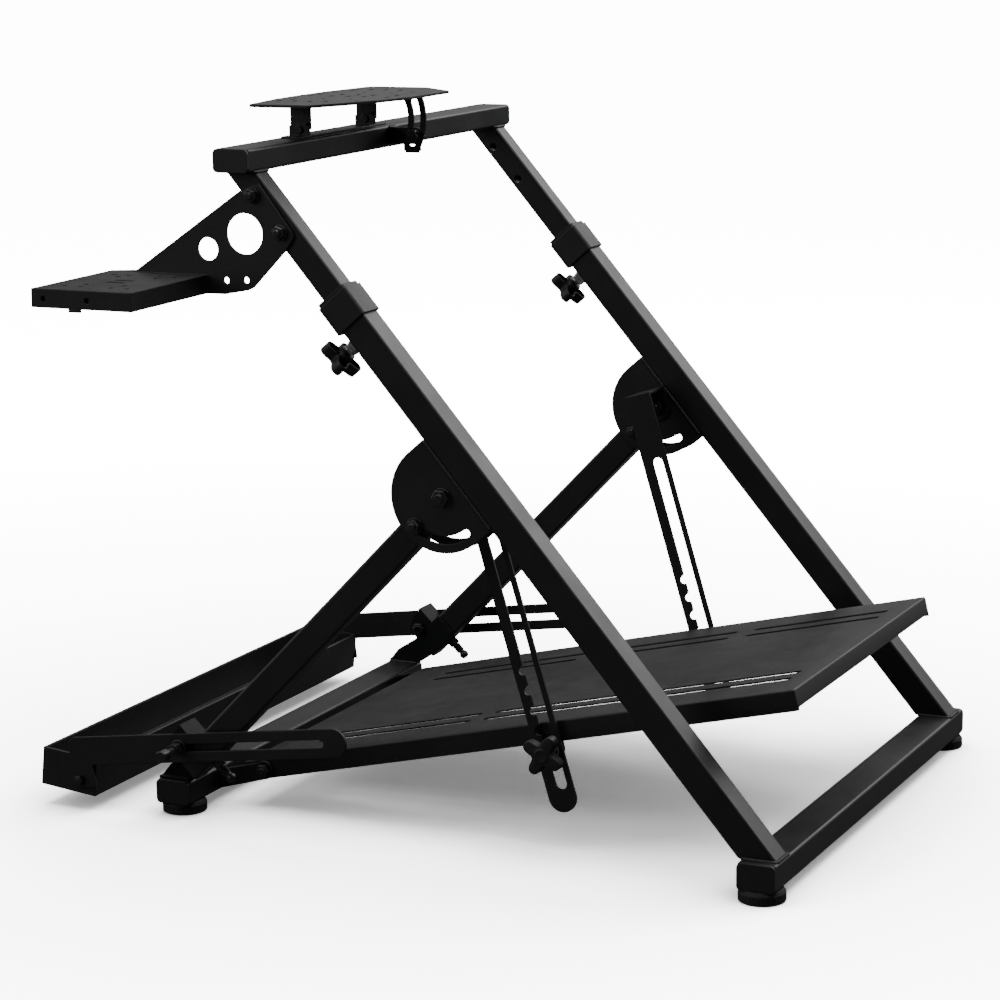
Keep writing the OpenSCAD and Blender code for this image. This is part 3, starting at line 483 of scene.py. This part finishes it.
def star_knob():
    radius, lobes = 17, 4
    knob = turned([(0, radius), (12.4, radius)], 112)
    for v in knob.data.vertices:
        wave = math.cos(lobes * math.atan2(v.co.y, v.co.x))
        reach = 16.7 + 2.85 * (wave + math.sin(wave * math.pi / 2))
        v.co.x, v.co.y = v.co.x * reach / radius, v.co.y * reach / radius
    pick_faces(knob, lambda n, c: n.z < -0.99)
    bpy.ops.mesh.inset(thickness=1.9 * MM)
    bpy.ops.mesh.extrude_region_move(TRANSFORM_OT_translate={"value": (0, 0, 5.5 * MM)})
    leave_edit()
    soften(knob, 1.5, 3, 50)
    hub = turned([(-6, 8), (-5.3, 8.7), (5, 9.4), (6.5, 9.4)])
    crown = turned([(11.5, 8), (12.6, 7.8), (13.1, 7), (13.2, 5.6), (12.9, 5), (12.9, 2)])
    return [knob, hub, crown]


def make_knobs():
    for side, word in ((1, "right"), (-1, "left")):
        seat = inside(LEG, LEG_OUT * side, *HEIGHT_KNOB) @ turn("X", 90)
        gather(word + "_height_star", [put(p, seat @ turn("Z", 60)) for p in star_knob()], MOULDED,
               "main_frame", "plastic", word + "_height_knob")
        parts = [thread(-22.9, -5.9, 4), nut(-21.05, -14.9, 16.4), nut(-14.7, -10.2, 13),
                 washer(-10.2, -9, 7)]
        gather(word + "_height_stud", [put(p, seat) for p in parts], ZINC, "main_frame", "fasteners")
    stars, studs = [], []
    for side in (1, -1):
        seat = inside(DECK, DECK_KNOB_OUT * side, *DECK_KNOB) @ turn("Y", 90 * side)
        stars += [put(p, seat @ turn("Z", 47)) for p in star_knob()]
        parts = [thread(-32.8, -5.9, 4), washer(-13.95, -12.4, 8.6), nut(-30.3, -24.85, 13)]
        studs += [put(p, seat) for p in parts]
    gather("deck_stars", stars, MOULDED, "deck", "plastic", "deck_knobs")
    gather("deck_studs", studs, ZINC, "deck", "fasteners")


# Bolts, each with a nut and a thread that stands out of it at both ends, and a washer where one is given

def bolt(inner, outer, radius, flats, ring, stick=2.5):
    """A bolt with a nut at each end; ring is the washer's radius, stick how far the thread stands out."""
    parts = [turned([(inner - 7, radius - 0.2), (outer + 5, radius - 0.2)], 24),
             nut(inner - 6.5, inner, flats), thread(inner - 6.5 - stick, inner - 5, radius)]
    low = outer
    if ring:
        parts.append(washer(outer, outer + 1.6, ring))
        low += 1.6
    parts += [nut(low, low + 5.6, flats), thread(low + 4, low + 5.6 + stick, radius)]
    return parts


def make_bolts():
    pivots, locks, clamps, hinges, hooks, plungers = [], [], [], [], [], []
    for side in (1, -1):
        seat = across(0, *PIVOT, side)
        pivots += [put(p, seat) for p in bolt(263.4, 299, 5, 16.5, 10)]
        seat = inside(REAR, 0, *LOCK_BOLT) @ turn("Y", 90 * side)
        locks += [put(p, seat) for p in bolt(266.7, 299.3, 4, 13, 8.6)]
        seat = across(0, *CLAMP, side)
        grip = [thread(309, 329, 4),
                turned([(327.5, 5.4), (328.4, 6.5), (338.2, 6.5), (339.3, 5.6), (339.3, 3)]),
                washer(313, 314.6, 7)]
        clamps += [put(p, seat) for p in bolt(267.46, 302.3, 4, 13, 9.4, 0.5) + grip]
        seat = across(0, *DECK_HINGE, side)
        hinges += [put(p, seat) for p in bolt(212.48, 218.6, 4, 13, None, 1)]
        seat = across(0, *TROUGH_BOLT, side)
        hooks += [put(p, seat) for p in bolt(296, 302, 3, 10, None, 0.5)]
        seat = inside(REAR, LEG_OUT * side, *PLUNGER) @ turn("X", -90)
        parts = [nut(0, 8, 12), turned([(7, 3.4), (20, 3.4)], 24)]
        parts += [turned([(coil, 4.4), (coil + 0.8, 5), (coil + 1.4, 4.4)], 24)
                  for coil in (9 + 1.9 * i for i in range(5))]
        parts.append(turned([(19.6, 2.4), (20.4, 4), (22, 5), (24, 5.4),
                             (26, 4.9), (27.6, 3.6), (28.4, 1.6)], 32))
        plungers += [put(p, seat) for p in parts]
    gather("pivot_bolt_set", pivots, BLACKED, "main_frame", "fasteners", "pivot_bolts")
    gather("lock_bolt_set", locks, BLACKED, "rear_frame", "fasteners", "lock_bolts")
    gather("clamp_bolt_set", clamps, BLACKED, "rear_frame", "fasteners", "clamp_bolts")
    gather("deck_hinge_bolt_set", hinges, BLACKED, "deck", "fasteners", "deck_hinge_bolts")
    gather("trough_bolt_set", hooks, BLACKED, "trough", "fasteners", "trough_bolts")
    gather("plunger_set", plungers, BLACKED, "rear_frame", "fasteners", "foot_plungers")
    parts = []
    for drop in (0, GUSSET_STEP):
        seat = inside(LEG, 0, *GUSSET_BOLT) @ Matrix.Translation((0, 0, -drop * MM)) @ turn("Y", 90)
        parts += [put(p, seat) for p in bolt(270.48, 298.52, 4, 13, 8)]
    gather("gusset_bolt_set", parts, BLACKED, "upper_frame", "fasteners", "shifter_bolts")
    seat = across(0, *TILT_BOLT, 1)
    gather("tilt_bolt_set", [put(p, seat) for p in bolt(-3, 3.6, 4, 13, 8, 2)], BLACKED,
           "upper_frame", "fasteners", "tilt_bolt")


# Weld beads

def bead(a, b, radius=2.0, where=None):
    """A rippled bead between two points, given in the stand or in a leaning part."""
    if where is None:
        a, b = place(*a), place(*b)
    else:
        a, b = where @ (Vector(a) * MM), where @ (Vector(b) * MM)
    length, ripple = (b - a).length / MM, 2.4
    steps = [(0, 0.6 * radius)]
    for i in range(int(length / ripple)):
        steps += [(ripple * i + 0.5, 0.96 * radius), (ripple * i + 1.4, 1.08 * radius),
                  (ripple * i + 2.3, 0.86 * radius)]
    steps.append((length + 0.2, 0.5 * radius))
    along = (b - a).to_track_quat("Z", "Y").to_matrix().to_4x4()
    return put(turned(steps, 12), Matrix.Translation(a) @ along)


def make_welds():
    main, upper, rear, plate = [], [], [], []
    for side in (1, -1):
        for x in (267, 299):
            main.append(bead((x * side, -20, 41), (x * side, 17.3, 41)))
        main.append(bead((267 * side, 17.3, 41), (299 * side, 17.3, 41)))
        for x in (267.4, 298.6):
            main.append(bead((x * side, -15.9, 436), (x * side, -15.9, 548), 1.7, LEG))
        for x in (270.5, 295.5):
            upper.append(bead((x * side, -577, 696), (x * side, -543.1, 696), 1.8))
        upper.append(bead((270.5 * side, -543.1, 696), (295.5 * side, -543.1, 696), 1.8))
        rear.append(bead((267.4 * side, -695.9, 39.3), (267.4 * side, -659.9, 39.3), 1.8))
        for x in (215.3, 218.3):
            rear.append(bead((x * side, -657.9, 17), (x * side, -657.9, 36), 1.5))
        for x in (87 + 74 * side - 1.5, 87 + 74 * side + 1.5):
            plate.append(bead((x, -574.5, 755), (x, -553, 755), 1.5))
    for x in (-9, 183):
        upper.append(bead((x, -575, 720.6), (x, -552.5, 720.6), 1.5))
    upper.append(bead((-15.5, -543.8, 717.8), (-1, -543.8, 717.8), 1.5))
    gather("front_frame_welds", main, POWDER, "main_frame", "frame_steel")
    gather("upper_frame_welds", upper, POWDER, "upper_frame", "frame_steel")
    gather("rear_frame_welds", rear, POWDER, "rear_frame", "frame_steel")
    gather("plate_welds", plate, POWDER, "wheel_deck", "frame_steel")


# Folded sheets

def long_hole(x, y, length, width, low, high):
    """A cutter for a slot that runs forward from a point."""
    cutter = turned([(low, width / 2), (high, width / 2)], 32)
    pick_faces(cutter, lambda n, c: n.y > 0.01)
    bpy.ops.transform.translate(value=(0, length * MM, 0))
    leave_edit()
    return put(cutter, Matrix.Translation(Vector((x, y, 0)) * MM))


def one_cutter(cutters):
    bpy.ops.object.select_all(action="DESELECT")
    for cutter in cutters:
        cutter.select_set(True)
    bpy.context.view_layer.objects.active = cutters[0]
    if len(cutters) > 1:
        bpy.ops.object.join()
    return cutters[0]


def make_deck():
    """Pedal deck of thin folded sheet, slotted, with bent edges and lugs for its bolts."""
    deck = block((-DECK_HALF, -23, -10), (DECK_HALF, DECK_LENGTH, 12))
    for side in (1, -1):
        pick_edges(deck, lambda v: v.y > (DECK_LENGTH - 1) * MM and v.x * side > (DECK_HALF - 1) * MM)
        bpy.ops.mesh.bevel(offset=2.6 * MM, segments=4, affect="EDGES")
        leave_edit()
    pick_faces(deck, lambda n, c: n.z > 0.9)
    bpy.ops.mesh.bevel(offset=DECK_SHEET * MM, segments=3, affect="EDGES")
    leave_edit()
    within, top = DECK_HALF - DECK_SHEET, 12 - DECK_SHEET
    shape(deck, "DIFFERENCE", block((-within, -60, -20), (within, DECK_LENGTH - DECK_SHEET, top)))
    # The skirts end short of the rear edge and of the front corners
    shape(deck, "DIFFERENCE", block((-220, -40, -20), (220, -8, 9.5)))
    shape(deck, "DIFFERENCE", block((-211, 610, -20), (211, 630, -7)))
    lug = (213.25, 214.95)
    for side in (1, -1):
        for (y, z), r in (((0, 0), 10), (DECK_KNOB, 11)):
            disc = turned([(lug[0], r), (lug[1], r)], 48)
            shape(deck, "UNION", put(disc, inside(Matrix(), 0, y, z) @ turn("Y", 90 * side)))
        ear = block(*sorted(((lug[0] * side, 337, -15.5), (lug[1] * side, 359, -5))))
        shape(deck, "UNION", ear)
    holes = [put(turned([(-220, 4.3), (220, 4.3)], 24), inside(Matrix(), 0, y, z) @ turn("Y", 90))
             for y, z in ((0, 0), DECK_KNOB)]
    holes += [long_hole(x, DECK_LENGTH - start - length, length, 10, 5, 15)
              for x in (-155, -125, 125, 155)
              for start, length in ((30, 150), (210, 165), (400, 180))]
    shape(deck, "DIFFERENCE", one_cutter(holes))
    gather("slotted_deck", [put(deck, DECK)], SHEET, "deck", "frame_steel", "pedal_deck")


def merged_copy(name):
    """A copy of a part from the frame, its faces merged so that it cuts cleanly."""
    piece = bpy.data.objects.new(name + "_cut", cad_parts[name].data.copy())
    bpy.context.scene.collection.objects.link(piece)
    pick_faces(piece, lambda n, c: True)
    bpy.ops.mesh.remove_doubles(threshold=0.000002)
    bpy.ops.mesh.dissolve_limited(angle_limit=math.radians(0.4))
    leave_edit()
    return piece


def make_shelf():
    """Gear lever shelf with its slots and holes, and holes in the flange."""
    shelf = merged_copy("shifter_bracket")
    middle = Matrix.Translation(place(*SHELF_MIDDLE, 0))
    flange = [across(0, SHELF_END + y, FLANGE_HOLE_UP, 1) for y in FLANGE_HOLES]
    holes = [put(long_hole(x, -9, 18, 6, 580, 600), middle) for x in (-8, 8)]
    holes += [put(turned([(580, 3), (600, 3)], 24), middle @ Matrix.Translation((x * MM, y * MM, 0)))
              for x in (-46, 46) for y in (-36, -18, 18, 36)]
    holes += [put(turned([(438, 3), (450, 3)], 24), seat) for seat in flange]
    shape(shelf, "DIFFERENCE", one_cutter(holes))
    # Solid nuts with no bore fill the flange holes dark: partly nuts, partly a dark filler for painted
    # shade
    dark_filler_nuts = [put(nut(437, 442.45, 10), seat) for seat in flange]
    tab = soften(put(block((442.6, -675, 567.6), (445.4, -661, 571.2)), STAND), 0.5)
    gather("gear_shelf", [shelf, tab] + dark_filler_nuts, SHEET, "upper_frame", "frame_steel", "shifter_bracket")


make_feet()
make_knobs()
make_bolts()
make_welds()
make_deck()
make_shelf()


# The studio: a pale floor, two bright walls that show only in reflections, and soft lamps
WHITE = 12.0  # the glow that shows as plain white


def lay_floor():
    """A pale floor with painted shade under the stand, and a painted glow that fades it into the white
    around it.
    """
    bpy.ops.object.select_all(action="DESELECT")
    bpy.ops.mesh.primitive_plane_add(size=120, location=(0, 0, 0))
    floor = bpy.context.object
    floor.name = "studio_floor"
    material = bpy.data.materials.new("studio_floor")
    material.use_nodes = True
    tree = material.node_tree
    tree.nodes.remove(tree.nodes["Principled BSDF"])
    pale = tree.nodes.new("ShaderNodeBsdfDiffuse")
    painted_shade_ao = tree.nodes.new("ShaderNodeAmbientOcclusion")
    painted_shade_ao.samples = 8
    painted_shade_ao.inputs["Distance"].default_value = 0.4
    glow = tree.nodes.new("ShaderNodeEmission")
    spot = tree.nodes.new("ShaderNodeTexCoord")
    away = tree.nodes.new("ShaderNodeVectorMath")
    away.operation = "LENGTH"
    both = tree.nodes.new("ShaderNodeAddShader")
    dim = tree.nodes.new("ShaderNodeBsdfDiffuse")
    dim.inputs["Color"].default_value = (0.12, 0.12, 0.12, 1)
    path = tree.nodes.new("ShaderNodeLightPath")
    pick = tree.nodes.new("ShaderNodeMixShader")
    out = tree.nodes["Material Output"]
    wire(tree, (spot.outputs["Object"], away.inputs[0]))
    # Painted shade: the floor darkens where the stand is close above it; painted light: it glows more away
    # from the stand
    wire(tree, (stretch(tree, painted_shade_ao.outputs["AO"], 0.2, 0.95, 1.4, 7.6), pale.inputs["Color"]),
         (stretch(tree, away.outputs["Value"], 0.5, 2.4, 0.2, WHITE), glow.inputs["Strength"]),
         (pale.outputs[0], both.inputs[0]), (glow.outputs[0], both.inputs[1]),
         (path.outputs["Is Camera Ray"], pick.inputs[0]), (dim.outputs[0], pick.inputs[1]),
         (both.outputs[0], pick.inputs[2]), (pick.outputs[0], out.inputs["Surface"]))
    floor.data.materials.append(material)


def light_room():
    world = bpy.data.worlds.new("studio")
    bpy.context.scene.world = world
    world.use_nodes = True
    tree = world.node_tree
    tree.nodes.clear()
    spot = tree.nodes.new("ShaderNodeTexCoord")

    def wall(direction, low, high, glow):
        face = tree.nodes.new("ShaderNodeVectorMath")
        face.operation = "DOT_PRODUCT"
        face.inputs[1].default_value = Vector(direction).normalized()
        wire(tree, (spot.outputs["Generated"], face.inputs[0]))
        return stretch(tree, face.outputs["Value"], low, high, 0, glow)

    both = sum_up(tree, "ADD", wall((-0.8, 0.35, 0.48), 0.6, 0.98, 0.65),
                  wall((0.15, -0.93, 0.33), 0.6, 0.95, 0.6))
    seen = tree.nodes.new("ShaderNodeBackground")
    seen.inputs["Strength"].default_value = WHITE
    lit = tree.nodes.new("ShaderNodeBackground")
    wire(tree, (sum_up(tree, "ADD", both, 0.06), lit.inputs["Strength"]))
    path = tree.nodes.new("ShaderNodeLightPath")
    pick = tree.nodes.new("ShaderNodeMixShader")
    out = tree.nodes.new("ShaderNodeOutputWorld")
    seen.inputs["Color"].default_value = (1, 1, 1, 1)
    lit.inputs["Color"].default_value = (1, 1, 1, 1)
    wire(tree, (path.outputs["Is Camera Ray"], pick.inputs[0]), (lit.outputs[0], pick.inputs[1]),
         (seen.outputs[0], pick.inputs[2]), (pick.outputs[0], out.inputs["Surface"]))


def hang_lamp(name, stand, aim, width, height, power):
    lamp = bpy.data.lights.new(name, "AREA")
    lamp.shape, lamp.size, lamp.size_y, lamp.energy = "RECTANGLE", width, height, power
    holder = bpy.data.objects.new(name, lamp)
    bpy.context.scene.collection.objects.link(holder)
    holder.location = stand
    holder.rotation_euler = (Vector(aim) - Vector(stand)).to_track_quat("-Z", "Y").to_euler()


lay_floor()
light_room()
hang_lamp("top_lamp", (0.0, 0.3, 3.2), (0, 0, 0.2), 3.4, 3.4, 84)
hang_lamp("far_lamp", (-2.8, 1.3, 2.05), (0, 0, 0.4), 2.4, 1.5, 34)
hang_lamp("side_lamp", (-2.8, -1.2, 1.75), (0, 0, 0.4), 1.6, 1.0, 3)
hang_lamp("near_lamp", (2.6, -2.2, 1.8), (0, 0, 0.4), 1.2, 1.6, 14)
